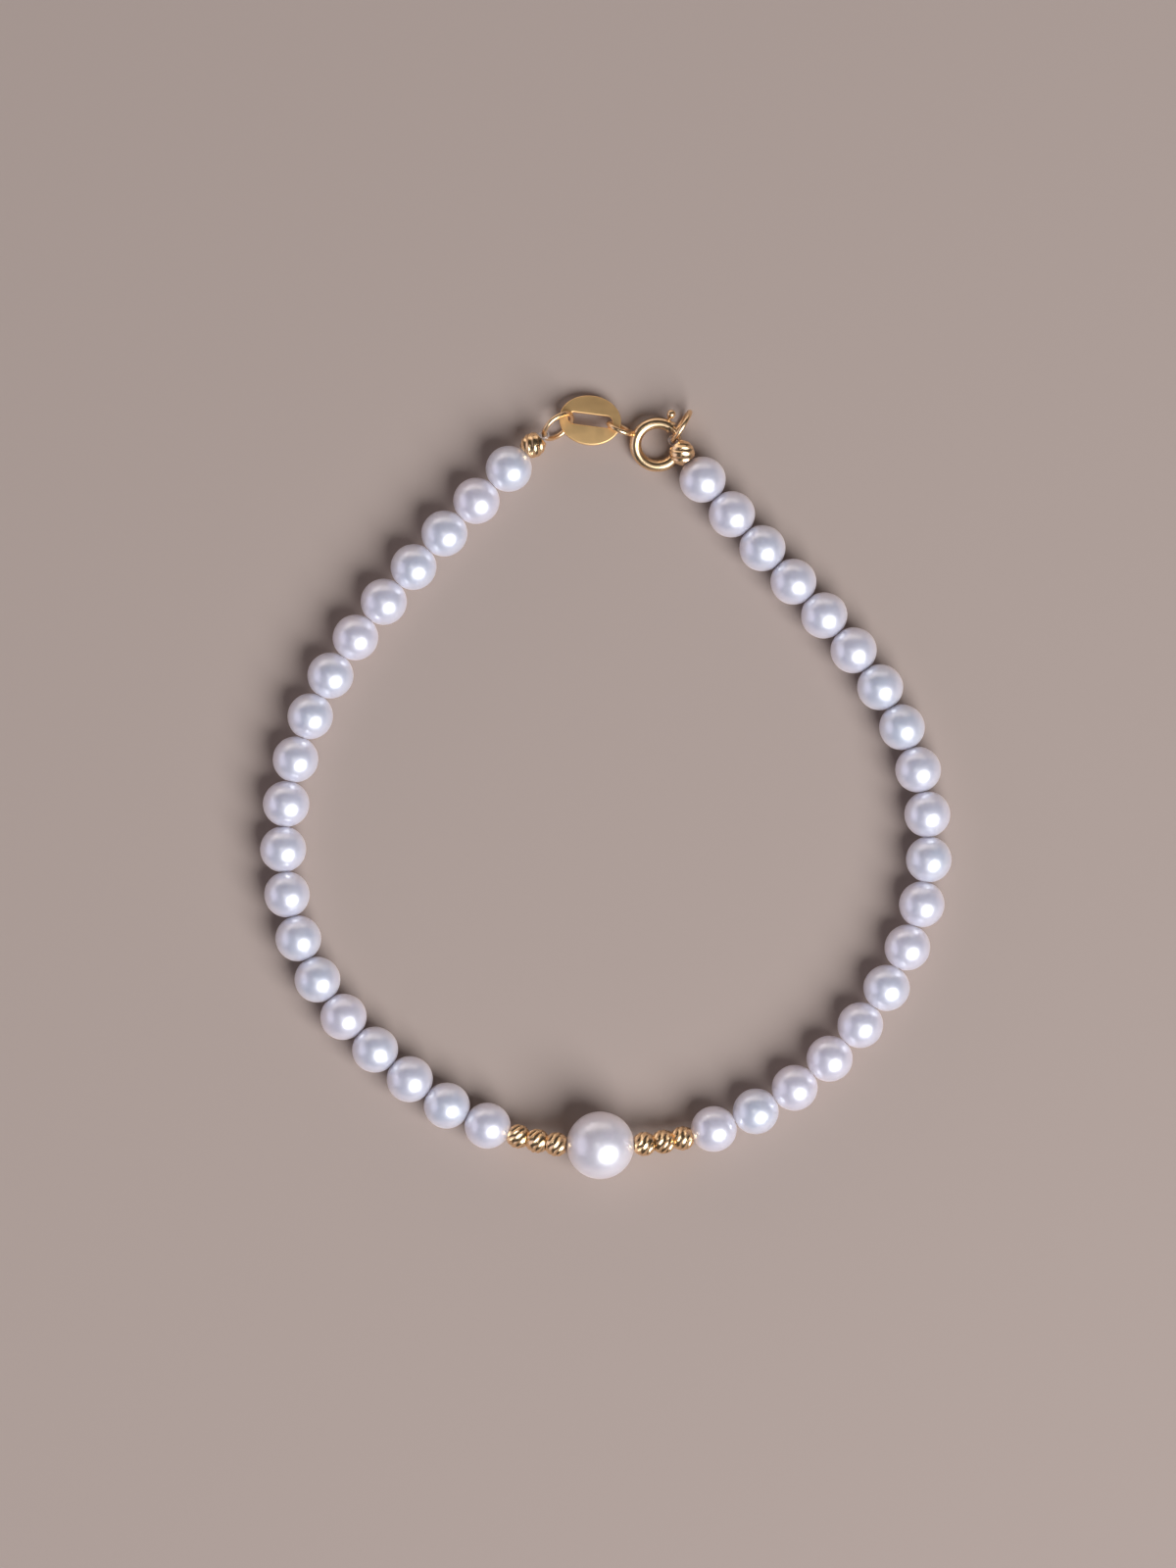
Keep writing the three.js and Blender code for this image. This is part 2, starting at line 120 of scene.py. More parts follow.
def drilled_ball(diameter, hole, rounds, bands):
    """A ball about Z with a hole through it, whose mouths have a small rolled lip."""
    bm = bmesh.new()
    bmesh.ops.create_uvsphere(bm, u_segments=rounds, v_segments=bands, radius=diameter / 2)
    mouth = math.sqrt(diameter ** 2 - hole ** 2) / 2
    for side in (1, -1):
        everything = bm.verts[:] + bm.edges[:] + bm.faces[:]
        bmesh.ops.bisect_plane(
            bm,
            geom=everything,
            dist=diameter * 1e-5,
            plane_co=(0, 0, side * mouth),
            plane_no=(0, 0, side),
            clear_outer=True,
        )
    for shrink, sink in LIP_ROLL:
        grown = bmesh.ops.extrude_edge_only(bm, edges=rim_loops(bm))["geom"]
        for vert in (item for item in grown if isinstance(item, bmesh.types.BMVert)):
            side = 1 if vert.co.z > 0 else -1
            vert.co.x *= shrink
            vert.co.y *= shrink
            vert.co.z -= side * sink * HOLE_LIP
    bmesh.ops.bridge_loops(bm, edges=rim_loops(bm))
    turn_outwards(bm)
    return bm


def pearl_shape(diameter, seed, rounds, bands):
    """A drilled pearl, a little out of round, that keeps its place and tint on its points."""
    bm = drilled_ball(diameter, PEARL_HOLE, rounds, bands)
    chance = random.Random(seed)
    own_place = bm.verts.layers.float_vector.new("own_place")
    own_tint = bm.verts.layers.float.new("own_tint")
    tint = chance.random()
    shift = Vector([chance.uniform(-FURTHEST_SHIFT, FURTHEST_SHIFT) for _ in range(3)])
    flatten = 1 + chance.uniform(-1, 1) * PEARL_OUT_OF_ROUND
    for vert in bm.verts:
        on_ball = vert.co.normalized()
        vert[own_place] = on_ball + shift
        vert[own_tint] = tint
        broad = noise.noise(on_ball * BROAD_WAVES + shift)
        fine = noise.noise(on_ball * FINE_WAVES + shift)
        if vert.co.length > diameter * PEARL_SKIN_FROM:
            vert.co += on_ball * (broad + FINE_WAVE_SHARE * fine) * PEARL_WAVE
            vert.co.x *= flatten
    return bm


def node_group(name, inputs, outputs):
    """An empty shader node group with named sockets, and its two ends."""
    group = bpy.data.node_groups.new(name, "ShaderNodeTree")
    for label, kind, value in inputs:
        socket = group.interface.new_socket(name=label, in_out="INPUT", socket_type=kind)
        if value is not None:
            socket.default_value = value
    for label, kind in outputs:
        group.interface.new_socket(name=label, in_out="OUTPUT", socket_type=kind)
    return group, group.nodes.new("NodeGroupInput"), group.nodes.new("NodeGroupOutput")


TINT_IN_BLUSH = 0.55
RINGS_ROUND_HOLE = 7.0
DIMPLES_IN_RELIEF = 0.45


def nacre_layers():
    """Growth of the nacre: clouds of overtone colour, rings about the hole and fine dimples."""
    group, given, result = node_group(
        "nacre layers",
        [("Place", "NodeSocketVector", None), ("Tint", "NodeSocketFloat", 0.5)],
        [("Cloud", "NodeSocketFloat"), ("Blush", "NodeSocketFloat"), ("Relief", "NodeSocketFloat")],
    )
    nodes, links = group.nodes, group.links
    cloud = nodes.new("ShaderNodeTexNoise")
    cloud.inputs["Scale"].default_value = 0.9
    cloud.inputs["Detail"].default_value = 2.0
    links.new(given.outputs["Place"], cloud.inputs["Vector"])
    cloud_range = nodes.new("ShaderNodeMapRange")
    cloud_range.inputs["From Min"].default_value = 0.3
    cloud_range.inputs["From Max"].default_value = 0.7
    links.new(cloud.outputs["Fac"], cloud_range.inputs["Value"])
    blush = nodes.new("ShaderNodeMath")
    blush.operation = "MULTIPLY_ADD"
    blush.inputs[1].default_value = TINT_IN_BLUSH
    links.new(given.outputs["Tint"], blush.inputs[0])
    links.new(cloud.outputs["Fac"], blush.inputs[2])
    apart = nodes.new("ShaderNodeSeparateXYZ")
    links.new(given.outputs["Place"], apart.inputs["Vector"])
    ring_place = nodes.new("ShaderNodeMath")
    ring_place.operation = "MULTIPLY"
    ring_place.inputs[1].default_value = RINGS_ROUND_HOLE
    links.new(apart.outputs["Z"], ring_place.inputs[0])
    rings = nodes.new("ShaderNodeTexNoise")
    rings.noise_dimensions = "1D"
    rings.inputs["Scale"].default_value = 1.0
    rings.inputs["Detail"].default_value = 3.0
    links.new(ring_place.outputs["Value"], rings.inputs["W"])
    dimples = nodes.new("ShaderNodeTexNoise")
    dimples.inputs["Scale"].default_value = 9.0
    dimples.inputs["Detail"].default_value = 4.0
    dimples.inputs["Roughness"].default_value = 0.6
    links.new(given.outputs["Place"], dimples.inputs["Vector"])
    relief = nodes.new("ShaderNodeMath")
    relief.operation = "MULTIPLY_ADD"
    relief.inputs[1].default_value = DIMPLES_IN_RELIEF
    links.new(dimples.outputs["Fac"], relief.inputs[0])
    links.new(rings.outputs["Fac"], relief.inputs[2])
    links.new(cloud_range.outputs["Result"], result.inputs["Cloud"])
    links.new(blush.outputs["Value"], result.inputs["Blush"])
    links.new(relief.outputs["Value"], result.inputs["Relief"])
    return group


NACRE_LAYERS = nacre_layers()


def nacre(name, body, overtone, blush):
    """Pearl nacre: a pale body under a clear glossy skin, with two overtones that drift over it."""
    material = bpy.data.materials.new(name)
    material.use_nodes = True
    nodes, links = material.node_tree.nodes, material.node_tree.links
    shader = nodes["Principled BSDF"]
    shader.inputs["Roughness"].default_value = 0.35
    shader.inputs["IOR"].default_value = 2.4
    shader.inputs["Specular IOR Level"].default_value = 1.0
    shader.inputs["Subsurface Weight"].default_value = 1.0
    shader.inputs["Subsurface Radius"].default_value = (1.0, 0.95, 0.95)
    shader.inputs["Subsurface Scale"].default_value = 2.5 * MM
    shader.inputs["Coat Weight"].default_value = 1.0
    shader.inputs["Coat Roughness"].default_value = 0.35
    shader.inputs["Coat IOR"].default_value = 2.5
    shader.inputs["Sheen Weight"].default_value = 0.6
    shader.inputs["Sheen Roughness"].default_value = 0.5
    shader.inputs["Sheen Tint"].default_value = (1.0, 0.84, 0.78, 1.0)
    place = nodes.new("ShaderNodeAttribute")
    place.attribute_name = "own_place"
    tint = nodes.new("ShaderNodeAttribute")
    tint.attribute_name = "own_tint"
    layers = nodes.new("ShaderNodeGroup")
    layers.node_tree = NACRE_LAYERS
    links.new(place.outputs["Vector"], layers.inputs["Place"])
    links.new(tint.outputs["Fac"], layers.inputs["Tint"])
    overtones = nodes.new("ShaderNodeMix")
    overtones.data_type = "RGBA"
    overtones.inputs["A"].default_value = body
    overtones.inputs["B"].default_value = overtone
    links.new(layers.outputs["Cloud"], overtones.inputs["Factor"])
    blushed = nodes.new("ShaderNodeMix")
    blushed.data_type = "RGBA"
    blushed.inputs["B"].default_value = blush
    blush_range = nodes.new("ShaderNodeMapRange")
    blush_range.inputs["From Min"].default_value = 0.55
    blush_range.inputs["From Max"].default_value = 1.1
    blush_range.inputs["To Max"].default_value = 0.6
    links.new(layers.outputs["Blush"], blush_range.inputs["Value"])
    links.new(blush_range.outputs["Result"], blushed.inputs["Factor"])
    links.new(overtones.outputs["Result"], blushed.inputs["A"])
    links.new(blushed.outputs["Result"], shader.inputs["Base Color"])
    bump = nodes.new("ShaderNodeBump")
    bump.inputs["Strength"].default_value = 0.35
    bump.inputs["Distance"].default_value = 0.012 * MM
    links.new(layers.outputs["Relief"], bump.inputs["Height"])
    links.new(bump.outputs["Normal"], shader.inputs["Normal"])
    return material


WHITE_NACRE = nacre(
    "white nacre",
    body=(0.74, 0.725, 0.895, 1.0),
    overtone=(0.645, 0.725, 0.94, 1.0),
    blush=(0.825, 0.715, 0.84, 1.0),
)

STRING = (
    ["end_bead_plate_side"]
    + SMALL_PEARLS[:PEARLS_A_SIDE]
    + ["gold_bead_01", "gold_bead_02", "gold_bead_03", "centre_pearl"]
    + ["gold_bead_04", "gold_bead_05", "gold_bead_06"]
    + SMALL_PEARLS[PEARLS_A_SIDE:]
    + ["end_bead_catch_side"]
)


def strung_direction(node):
    """The way the string runs through a bead: from the bead before it to the bead after it."""
    at = STRING.index(node)
    before = STRING[max(at - 1, 0)]
    after = STRING[min(at + 1, len(STRING) - 1)]
    return middle(after) - middle(before)


def level_direction(node):
    """The way the string runs through a bead, as seen from above."""
    way = strung_direction(node)
    way.z = 0
    return way


for number, node in enumerate(SMALL_PEARLS, 1):
    pearl = pearl_shape(PEARL_DIAMETER, seed=number, rounds=64, bands=40)
    place = middle(node)
    place.z = PEARL_DIAMETER / 2
    finish_piece(
        "small_pearl_%02d" % number,
        pearl,
        WHITE_NACRE,
        "bracelet",
        [node],
        laid_along(level_direction(node), place),
    )


# The large pearl at the front. One 6 mm pearl, creamier than the rest, drilled and strung in
# the same way, and taller than its neighbours, so the string climbs to it over the gold beads.

CREAM_NACRE = nacre(
    "cream nacre",
    body=(0.81, 0.765, 0.86, 1.0),
    overtone=(0.75, 0.765, 0.91, 1.0),
    blush=(0.90, 0.765, 0.755, 1.0),
)

finish_piece(
    "large_pearl",
    pearl_shape(span("centre_pearl").z, seed=101, rounds=96, bands=64),
    CREAM_NACRE,
    "bracelet",
    ["centre_pearl"],
    laid_along(level_direction("centre_pearl"), middle("centre_pearl")),
)


# Gold beads. Small hollow barrels of yellow gold, three on each side of the large pearl and one at
# each end of the string. A diamond wheel has cut slanting hollows round each of them, which meet
# in sharp bright ridges and carry the fine lines of the wheel.

CUT_BEAD_DIAMETER = 2.2 * MM
CUT_BEAD_LENGTH = 1.78 * MM
END_BEAD_DIAMETER = 2.25 * MM
END_BEAD_LENGTH = 1.9 * MM
GOLD_HOLE = 0.9 * MM
HOLE_DEPTH = 0.3 * MM
END_SHARE = 0.62
CUTS_ROUND = 10
CUT_DEPTH = 0.07
CUT_TWIST = math.radians(-120)
CUT_UNEVEN = 0.02
STEPS_IN_A_CUT = 8
STEPS_ALONG = 28
CUT_FADE = 8
CUT_SKIN_FROM = 0.55
RIDGE_WITHIN = 0.02
BEAD_CORNER = math.radians(35)


def cut_bead_shape(diameter, length, seed):
    """A barrel-shaped bead about Z, with slanting cuts round it and a ridge between each two."""
    bm = bmesh.new()
    chance = random.Random(seed)
    depths = [CUT_DEPTH + chance.uniform(-1, 1) * CUT_UNEVEN for _ in range(CUTS_ROUND)]
    radius = diameter / 2
    bulge = 1 - END_SHARE ** 2
    outline = [(GOLD_HOLE / 2, -length / 2 + HOLE_DEPTH), (GOLD_HOLE / 2, -length / 2)]
    for step in range(STEPS_ALONG + 1):
        height = 2 * step / STEPS_ALONG - 1
        outline.append((radius * math.sqrt(1 - bulge * height * height), height * length / 2))
    outline += [(GOLD_HOLE / 2, length / 2), (GOLD_HOLE / 2, length / 2 - HOLE_DEPTH)]
    corners = [bm.verts.new((reach, 0, height)) for reach, height in outline]
    for first, second in zip(corners, corners[1:]):
        bm.edges.new((first, second))
    bmesh.ops.spin(
        bm,
        geom=bm.verts[:] + bm.edges[:],
        cent=(0, 0, 0),
        axis=(0, 0, 1),
        angle=2 * math.pi,
        steps=CUTS_ROUND * STEPS_IN_A_CUT,
        use_merge=True,
    )
    bmesh.ops.bridge_loops(bm, edges=rim_loops(bm))
    cut_lay = bm.verts.layers.float_vector.new("cut_lay")
    cut_width = 2 * math.pi / CUTS_ROUND
    on_ridge = set()
    for vert in bm.verts:
        turn = math.atan2(vert.co.y, vert.co.x)
        cut = math.floor(turn / cut_width + 0.5)
        across = turn / cut_width - cut
        height = vert.co.z / (length / 2)
        vert[cut_lay] = Vector((turn * radius, vert.co.z, seed * diameter))
        if vert.co.xy.length > GOLD_HOLE * CUT_SKIN_FROM:
            if abs(abs(across) - 0.5) < RIDGE_WITHIN:
                on_ridge.add(vert)
            fade = 1 - abs(height) ** CUT_FADE
            inset = 1 - depths[cut % CUTS_ROUND] * fade * (1 - (2 * across) ** 2)
            vert.co.x *= inset
            vert.co.y *= inset
        vert.co = Matrix.Rotation(CUT_TWIST * height / 2, 3, "Z") @ vert.co
    turn_outwards(bm)
    for edge in bm.edges:
        if edge.verts[0] in on_ridge and edge.verts[1] in on_ridge:
            edge.smooth = False
        elif len(edge.link_faces) == 2 and edge.calc_face_angle() > BEAD_CORNER:
            edge.smooth = False
    return bm


# The two ways that hair scratches run: their stretch in X, Y and Z, and their turn about Z.
SCRATCH_WAYS = (((1.0, 0.04, 0.3), 0.5), ((0.05, 1.0, 0.3), -0.35))
SCRATCH_DEPTH = 0.004 * MM


def handling_marks():
    """Marks of wear on gold: hair scratches in two directions and a faintly cloudy polish."""
    group, given, result = node_group(
        "handling marks",
        [
            ("Place", "NodeSocketVector", None),
            ("Scratch Scale", "NodeSocketFloat", 9000.0),
            ("Dull", "NodeSocketFloat", 0.06),
            ("Polish", "NodeSocketFloat", 0.1),
        ],
        [("Roughness", "NodeSocketFloat"), ("Relief", "NodeSocketFloat")],
    )
    nodes, links = group.nodes, group.links
    heights = []
    for stretch, lean in SCRATCH_WAYS:
        lay = nodes.new("ShaderNodeMapping")
        lay.inputs["Scale"].default_value = stretch
        lay.inputs["Rotation"].default_value = (0.2, 0.0, lean)
        links.new(given.outputs["Place"], lay.inputs["Vector"])
        hairs = nodes.new("ShaderNodeTexNoise")
        hairs.inputs["Detail"].default_value = 2.0
        links.new(lay.outputs["Vector"], hairs.inputs["Vector"])
        links.new(given.outputs["Scratch Scale"], hairs.inputs["Scale"])
        heights.append(hairs.outputs["Fac"])
    both = nodes.new("ShaderNodeMath")
    both.operation = "ADD"
    links.new(heights[0], both.inputs[0])
    links.new(heights[1], both.inputs[1])
    cloud = nodes.new("ShaderNodeTexNoise")
    cloud.inputs["Scale"].default_value = 1400.0
    cloud.inputs["Detail"].default_value = 3.0
    links.new(given.outputs["Place"], cloud.inputs["Vector"])
    rough = nodes.new("ShaderNodeMath")
    rough.operation = "MULTIPLY_ADD"
    links.new(cloud.outputs["Fac"], rough.inputs[0])
    links.new(given.outputs["Dull"], rough.inputs[1])
    links.new(given.outputs["Polish"], rough.inputs[2])
    links.new(rough.outputs["Value"], result.inputs["Roughness"])
    links.new(both.outputs["Value"], result.inputs["Relief"])
    return group


HANDLING_MARKS = handling_marks()


def gold(name, colour, polish, dull, scratch_scale, relief, lay=None):
    """Yellow gold with its own polish and marks of wear, which may follow the lay of its cuts."""
    material = bpy.data.materials.new(name)
    material.use_nodes = True
    nodes, links = material.node_tree.nodes, material.node_tree.links
    shader = nodes["Principled BSDF"]
    shader.inputs["Base Color"].default_value = colour
    shader.inputs["Metallic"].default_value = 1.0
    place = nodes.new("ShaderNodeAttribute" if lay else "ShaderNodeTexCoord")
    if lay:
        place.attribute_name = lay
    marks = nodes.new("ShaderNodeGroup")
    marks.node_tree = HANDLING_MARKS
    marks.inputs["Scratch Scale"].default_value = scratch_scale
    marks.inputs["Dull"].default_value = dull
    marks.inputs["Polish"].default_value = polish
    links.new(place.outputs["Vector" if lay else "Object"], marks.inputs["Place"])
    links.new(marks.outputs["Roughness"], shader.inputs["Roughness"])
    bump = nodes.new("ShaderNodeBump")
    bump.inputs["Strength"].default_value = relief
    bump.inputs["Distance"].default_value = SCRATCH_DEPTH
    links.new(marks.outputs["Relief"], bump.inputs["Height"])
    links.new(bump.outputs["Normal"], shader.inputs["Normal"])
    return material


CUT_GOLD = gold(
    "diamond cut gold",
    colour=(0.99, 0.68, 0.385, 1.0),
    polish=0.22,
    dull=0.1,
    scratch_scale=16000.0,
    relief=0.5,
    lay="cut_lay",
)

for number in range(1, 7):
    node = "gold_bead_%02d" % number
    finish_piece(
        "cut_gold_bead_%02d" % number,
        cut_bead_shape(CUT_BEAD_DIAMETER, CUT_BEAD_LENGTH, seed=number),
        CUT_GOLD,
        "bracelet",
        [node],
        laid_along(strung_direction(node), middle(node)),
    )

for number, node in enumerate(("end_bead_plate_side", "end_bead_catch_side"), 7):
    finish_piece(
        "cut_gold_" + node,
        cut_bead_shape(END_BEAD_DIAMETER, END_BEAD_LENGTH, seed=number),
        CUT_GOLD,
        "bracelet",
        [node],
        laid_along(level_direction(node), middle(node)),
    )


# Clasp case. A 5 mm spring-ring of polished yellow gold tube with a gap on its right. The tube
# is open at both ends and slotted along its outer side, where the knob runs. It has a rolled
# lip at the end where the bolt comes out, and a small ear soldered on the other side.

BOLT_JOINT = frame["record"]["behaviour"]["joints"][0]
CLASP_CENTRE = Vector(BOLT_JOINT["pos_m"])
CLASP_AXIS = Vector(BOLT_JOINT["axis"])
CLASP_RADIUS = 1.975 * MM
CASE_TUBE = 1.05 * MM
CASE_BORE = 0.68 * MM
CASE_FROM = math.radians(50)
CASE_TO = math.radians(352)
CASE_STEPS = 120
SECTION_POINTS = 32
LIP_HEIGHT = 0.05 * MM
LIP_STEPS = 2
CASE_CORNER = math.radians(50)
SLOT_FROM = math.radians(61)
SLOT_TO = math.radians(135)
SLOT_HALF_TURN = math.radians(23)
CLASP_PLACE = Matrix.Translation(CLASP_CENTRE) @ Matrix.Rotation(
    math.atan2(-CLASP_AXIS.y, CLASP_AXIS.z), 4, "X"
)


def polar(co):
    """The angle of a point about its piece's own middle, from +X and from 0 to a full turn."""
    return math.atan2(co.y, co.x) % (2 * math.pi)


def bent_tube(bm, ring_radius, tube_radius, start, end, steps, points=SECTION_POINTS):
    """Spins a round section about Z, from one angle to another, and leaves both ends open."""
    made = bmesh.ops.create_circle(bm, segments=points, radius=tube_radius)["verts"]
    bmesh.ops.rotate(bm, verts=made, matrix=Matrix.Rotation(math.pi / 2, 3, "X"))
    bmesh.ops.translate(bm, verts=made, vec=(ring_radius, 0, 0))
    bmesh.ops.rotate(bm, verts=made, matrix=Matrix.Rotation(start, 3, "Z"))
    loop = list({edge for vert in made for edge in vert.link_edges})
    full = end - start > 2 * math.pi - 1e-6
    bmesh.ops.spin(
        bm,
        geom=made + loop,
        cent=(0, 0, 0),
        axis=(0, 0, 1),
        angle=end - start,
        steps=steps,
        use_merge=full,
        use_duplicate=False,
    )


def section_turn(co):
    """Where a point is round the tube: 0 on the ring's outer side, a quarter turn on its top."""
    return math.atan2(co.z, co.xy.length - CLASP_RADIUS)


def section_size(co):
    """How far a point is from the middle of the tube."""
    return Vector((co.xy.length - CLASP_RADIUS, co.z)).length


def case_shape():
    """The case about Z: an outer and an inner tube, joined at both ends and along the slot."""
    bm = bmesh.new()
    bent_tube(bm, CLASP_RADIUS, CASE_TUBE / 2, CASE_FROM, CASE_TO, CASE_STEPS)
    bent_tube(bm, CLASP_RADIUS, CASE_BORE / 2, CASE_FROM, CASE_TO, CASE_STEPS)
    step = (CASE_TO - CASE_FROM) / CASE_STEPS
    wall = (CASE_TUBE + CASE_BORE) / 4
    for vert in bm.verts:
        steps_from_lip = round((polar(vert.co) - CASE_FROM) / step)
        if section_size(vert.co) > wall and steps_from_lip <= LIP_STEPS:
            out = vert.co - Vector((vert.co.x, vert.co.y, 0)).normalized() * CLASP_RADIUS
            height = LIP_HEIGHT if steps_from_lip < LIP_STEPS else LIP_HEIGHT / 2
            vert.co += out.normalized() * height
    slot_faces = []
    for face in bm.faces:
        co = face.calc_center_median()
        if SLOT_FROM < polar(co) < SLOT_TO and abs(section_turn(co)) < SLOT_HALF_TURN:
            slot_faces.append(face)
    bmesh.ops.delete(bm, geom=slot_faces, context="FACES")
    groups = {"lip": [], "slot": [], "far end": []}
    for edge in rim_loops(bm):
        turn = polar((edge.verts[0].co + edge.verts[1].co) / 2)
        if abs(turn - CASE_FROM) < step / 2:
            groups["lip"].append(edge)
        elif abs(turn - CASE_TO) < step / 2:
            groups["far end"].append(edge)
        else:
            groups["slot"].append(edge)
    for edges in groups.values():
        bmesh.ops.bridge_loops(bm, edges=edges)
    turn_outwards(bm)
    for edge in bm.edges:
        if len(edge.link_faces) == 2 and edge.calc_face_angle() > CASE_CORNER:
            edge.smooth = False
    return bm


POLISHED_GOLD = gold(
    "polished gold",
    colour=(0.975, 0.68, 0.395, 1.0),
    polish=0.24,
    dull=0.1,
    scratch_scale=7000.0,
    relief=0.25,
)

finish_piece(
    "spring_ring_case",
    case_shape(),
    POLISHED_GOLD,
    "bracelet",
    ["clasp_case"],
    CLASP_PLACE,
)


# Clasp ear. A ring of gold wire soldered on edge to the far side of the case. The solder has
# run up round the foot of the wire.

EAR_RADIUS = 1.105 * MM
EAR_WIRE = 0.44 * MM
EAR_REACH = 3.705 * MM
EAR_AT = math.radians(157)
SOLDER_SWELL = 0.35
SOLDER_SPREAD = math.radians(28)

ear = bmesh.new()
bent_tube(ear, EAR_RADIUS, EAR_WIRE / 2, 0, 2 * math.pi, steps=72, points=20)
for vert in ear.verts:
    turn = polar(vert.co)
    on_wire = Vector((math.cos(turn), math.sin(turn), 0)) * EAR_RADIUS
    swell = 1 + SOLDER_SWELL * math.exp(-((abs(turn - math.pi) / SOLDER_SPREAD) ** 2))
    vert.co = on_wire + (vert.co - on_wire) * swell
turn_outwards(ear)
ear_place = (
    CLASP_PLACE
    @ Matrix.Rotation(EAR_AT, 4, "Z")
    @ Matrix.Translation((EAR_REACH, 0, 0))
    @ Matrix.Rotation(math.pi / 2, 4, "X")
)
finish_piece(
    "clasp_ear",
    ear,
    POLISHED_GOLD,
    "bracelet",
    ["clasp_case"],
    ear_place,
)


# Clasp bolt. A thinner round bolt of the same gold that a spring inside the case pushes across
# the gap and into the case's other end. Its knob stands out through the slot on a short stem,
# and a fingernail on the knob draws the bolt back.

BOLT_WIRE = 0.5 * MM
BOLT_TIP = math.radians(-17)
BOLT_TAIL = math.radians(90)
BOLT_ROUNDING = 0.125 * MM
KNOB_AT = math.radians(66)
KNOB_REACH = 3.05 * MM
KNOB_DIAMETER = 0.8 * MM
STEM_DIAMETER = 0.26 * MM

# The knob's outline from its foot to its crown, in shares of its diameter: how far it stands out
# from the stem's line, and how high above the knob's middle.
KNOB_OUTLINE = ((0.29, -0.42), (0.44, -0.2), (0.48, 0.0), (0.44, 0.22), (0.3, 0.4), (0.12, 0.49))

bolt = bmesh.new()
bent_tube(bolt, CLASP_RADIUS, BOLT_WIRE / 2, BOLT_TIP, BOLT_TAIL, steps=48, points=24)
caps = bmesh.ops.holes_fill(bolt, edges=rim_loops(bolt), sides=0)["faces"]
bmesh.ops.bevel(
    bolt,
    geom=[edge for face in caps for edge in face.edges],
    offset=BOLT_ROUNDING,
    offset_type="OFFSET",
    segments=3,
    profile=0.5,
    affect="EDGES",
    material=-1,
)
knob_profile = [
    (STEM_DIAMETER / 2, CLASP_RADIUS),
    (STEM_DIAMETER / 2, KNOB_REACH - KNOB_DIAMETER / 2),
]
for stand_out, height in KNOB_OUTLINE:
    knob_profile.append((KNOB_DIAMETER * stand_out, KNOB_REACH + KNOB_DIAMETER * height))
knob = bmesh.new()
profile = [knob.verts.new((radius, 0, reach)) for radius, reach in knob_profile]
for first, second in zip(profile, profile[1:]):
    knob.edges.new((first, second))
bmesh.ops.spin(
    knob,
    geom=knob.verts[:] + knob.edges[:],
    cent=(0, 0, 0),
    axis=(0, 0, 1),
    angle=2 * math.pi,
    steps=24,
    use_merge=True,
)
bmesh.ops.holes_fill(knob, edges=rim_loops(knob), sides=0)
bmesh.ops.subdivide_edges(knob, edges=knob.edges, cuts=1, smooth=1.0, use_grid_fill=True)
bmesh.ops.transform(
    knob,
    matrix=Matrix.Rotation(KNOB_AT, 4, "Z") @ Matrix.Rotation(math.pi / 2, 4, "Y"),
    verts=knob.verts,
)
knob_mesh = bpy.data.meshes.new("knob on its stem")
knob.to_mesh(knob_mesh)
knob.free()
bolt.from_mesh(knob_mesh)
bpy.data.meshes.remove(knob_mesh)
turn_outwards(bolt)
finish_piece(
    "spring_ring_bolt",
    bolt,
    POLISHED_GOLD,
    "bolt",
    ["clasp_bolt"],
    CLASP_PLACE,
)


# Oval plate. A stamped plate of satin yellow gold with a long slot, which joins the clasp to the
# string. The stamp has left it faintly crowned. It lies aslant, with its lower edge raised and
# catching the light. Its face is bare.

PLATE_LENGTH = 5.6 * MM
PLATE_WIDTH = 4.6 * MM
PLATE_THICKNESS = 0.3 * MM
PLATE_SLOT_LENGTH = 4.05 * MM
PLATE_SLOT_WIDTH = 1.08 * MM
PLATE_EDGE = 0.09 * MM
PLATE_CROWN = 0.12 * MM
PLATE_HEADING = math.radians(-7)
PLATE_TILT = math.radians(-12)
PLATE_POINTS = 96
PLATE_CORNER = math.radians(60)
FLAT_FACE = 0.999

plate = bmesh.new()
rim = bmesh.ops.create_circle(plate, segments=PLATE_POINTS, radius=PLATE_LENGTH / 2)["verts"]
bmesh.ops.scale(plate, verts=rim, vec=(1, PLATE_WIDTH / PLATE_LENGTH, 1))
slot = bmesh.ops.create_circle(plate, segments=PLATE_POINTS, radius=PLATE_SLOT_WIDTH / 2)["verts"]
straight = (PLATE_SLOT_LENGTH - PLATE_SLOT_WIDTH) / 2
for vert in slot:
    in_middle = abs(vert.co.x) < PLATE_SLOT_WIDTH * 1e-4
    if not in_middle:
        vert.co.x += math.copysign(straight, vert.co.x)
spokes = bmesh.ops.bridge_loops(plate, edges=plate.edges)["edges"]
bmesh.ops.subdivide_edges(plate, edges=spokes, cuts=5, use_grid_fill=True)
top = plate.faces[:]
walls = bmesh.ops.extrude_face_region(plate, geom=top)["geom"]
lifted = [item for item in walls if isinstance(item, bmesh.types.BMVert)]
bmesh.ops.translate(plate, verts=lifted, vec=(0, 0, PLATE_THICKNESS))
bmesh.ops.translate(plate, verts=plate.verts, vec=(0, 0, -PLATE_THICKNESS / 2))
bmesh.ops.recalc_face_normals(plate, faces=plate.faces)
corners = [edge for edge in plate.edges if edge.calc_face_angle(0) > PLATE_CORNER]
bmesh.ops.bevel(
    plate,
    geom=corners,
    offset=PLATE_EDGE,
    offset_type="OFFSET",
    segments=4,
    profile=0.5,
    affect="EDGES",
    material=-1,
)
for face in plate.faces:
    face.smooth = True
for edge in plate.edges:
    flats = [abs(face.normal.z) > FLAT_FACE for face in edge.link_faces]
    edge.smooth = all(flats) or not any(flats)
